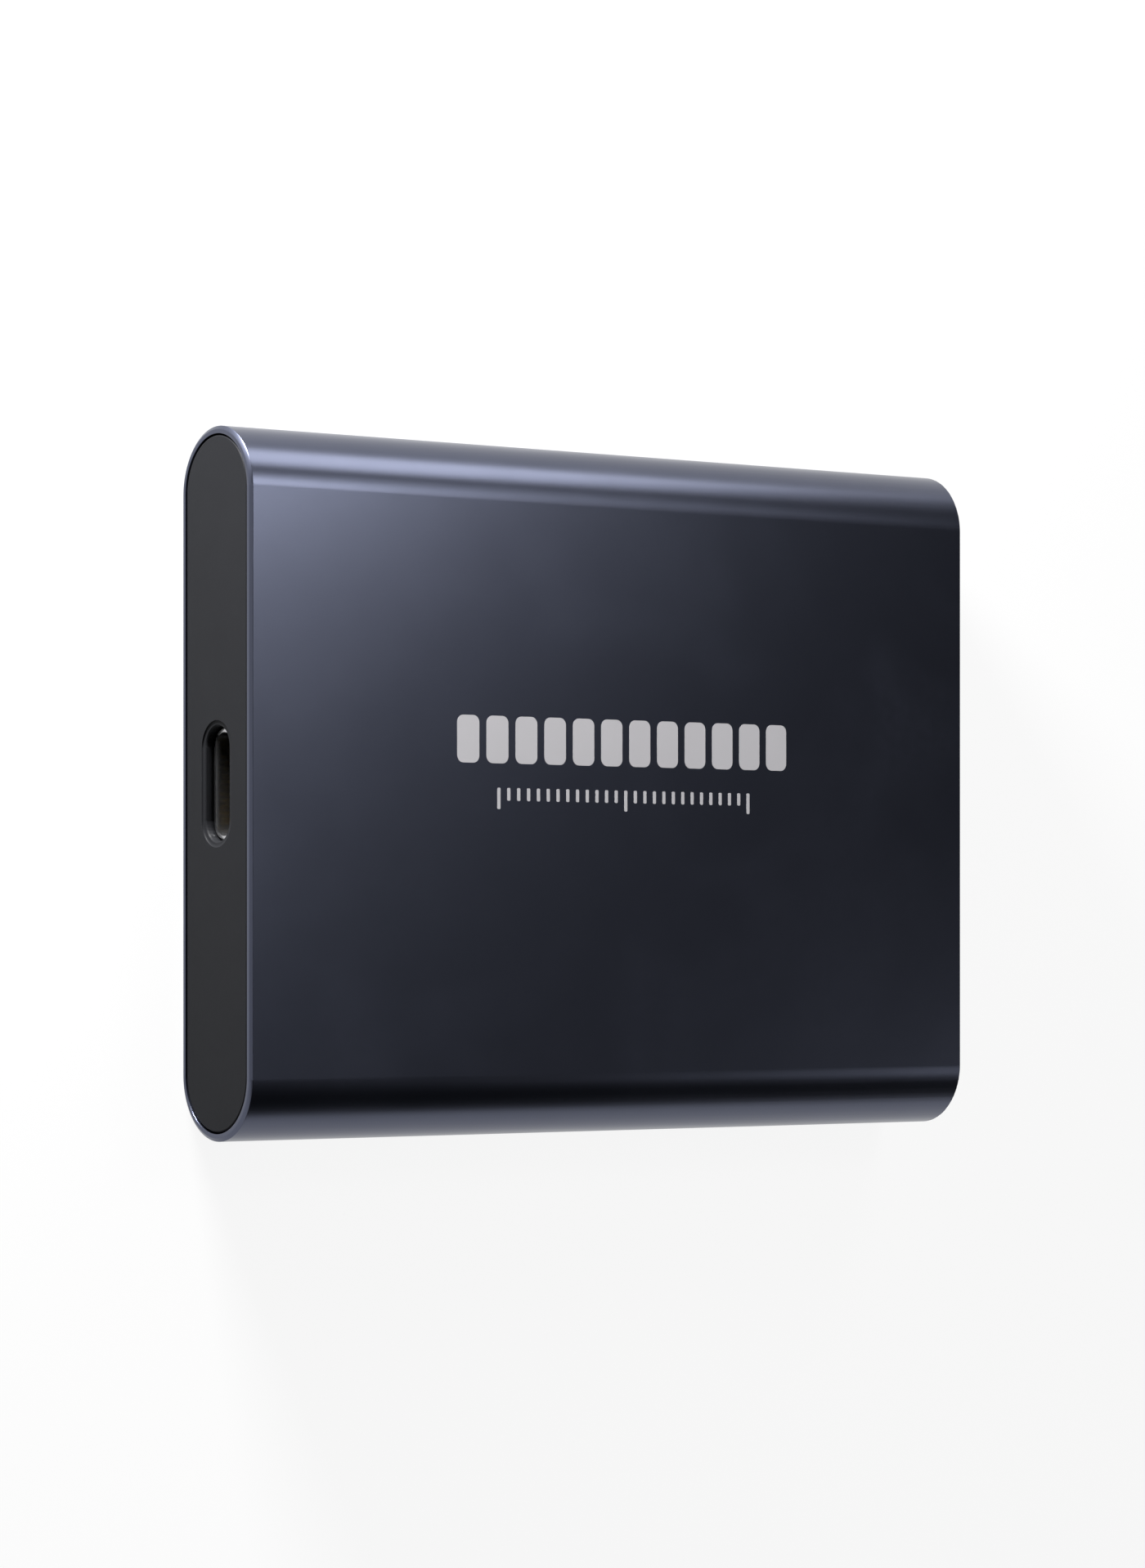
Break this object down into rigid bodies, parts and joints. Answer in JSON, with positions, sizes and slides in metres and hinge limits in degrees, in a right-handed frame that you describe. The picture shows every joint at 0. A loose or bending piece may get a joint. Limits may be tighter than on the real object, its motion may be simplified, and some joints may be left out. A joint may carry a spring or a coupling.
{
  "type": "solid state drive",
  "caption": "Pocket solid state drive: stadium-section aluminium sleeve closed by flush plastic end caps, with a data port in one end and circuit boards inside.",
  "frame": {"origin": "centre of the bounding box's bottom face, on the back of the sleeve", "axes": "+X along the length, away from the port end; +Y across the wide face; +Z out of the wide front face"},
  "size_m": [0.074, 0.0572, 0.0105],
  "materials": {
    "anodised_aluminium": "fine bead-blasted, dark blue-grey anodised",
    "cap_plastic": "fine matt texture",
    "frame_plastic": "as moulded",
    "adhesive_tape": "double-sided tape",
    "bare_aluminium": "pressed sheet, mill finish",
    "receptacle_steel": "plated, drawn",
    "insulator_plastic": "moulded",
    "gold_plate": "gold plated",
    "circuit_board": "solder mask",
    "socket_plastic": "moulded",
    "chip_resin": "moulded resin",
    "ferrite": "pressed ferrite",
    "crystal_can": "welded lid",
    "capacitor_ceramic": "fired ceramic",
    "tinned_metal": "tinned",
    "silicone": "soft silicone",
    "screw_steel": "zinc plated",
    "standoff_brass": "turned"
  },
  "bodies": {
    "root": {"sleeve": "anodised_aluminium", "port_cap": "cap_plastic", "rear_trim": "cap_plastic", "rear_plate": "frame_plastic", "tray": "frame_plastic", "trim_tape": "adhesive_tape", "cover": "bare_aluminium", "port_shell": "receptacle_steel", "port_mid_plate": "receptacle_steel", "port_insulator": "insulator_plastic", "port_contacts": "gold_plate", "socket_contacts": "gold_plate", "edge_fingers": "gold_plate", "main_board": "circuit_board", "storage_card": "circuit_board", "card_socket": "socket_plastic", "flash_memories": "chip_resin", "storage_controller": "chip_resin", "cache_memory": "chip_resin", "bridge_chip": "chip_resin", "regulator": "chip_resin", "firmware_memory": "chip_resin", "power_inductor": "ferrite", "crystal": "crystal_can", "board_capacitors": "capacitor_ceramic", "card_capacitors": "capacitor_ceramic", "board_terminals": "tinned_metal", "card_terminals": "tinned_metal", "thermal_pad": "silicone", "board_screws": "screw_steel", "card_screws": "screw_steel", "rear_screws": "screw_steel", "card_standoffs": "standoff_brass"}
  },
  "joints": []
}
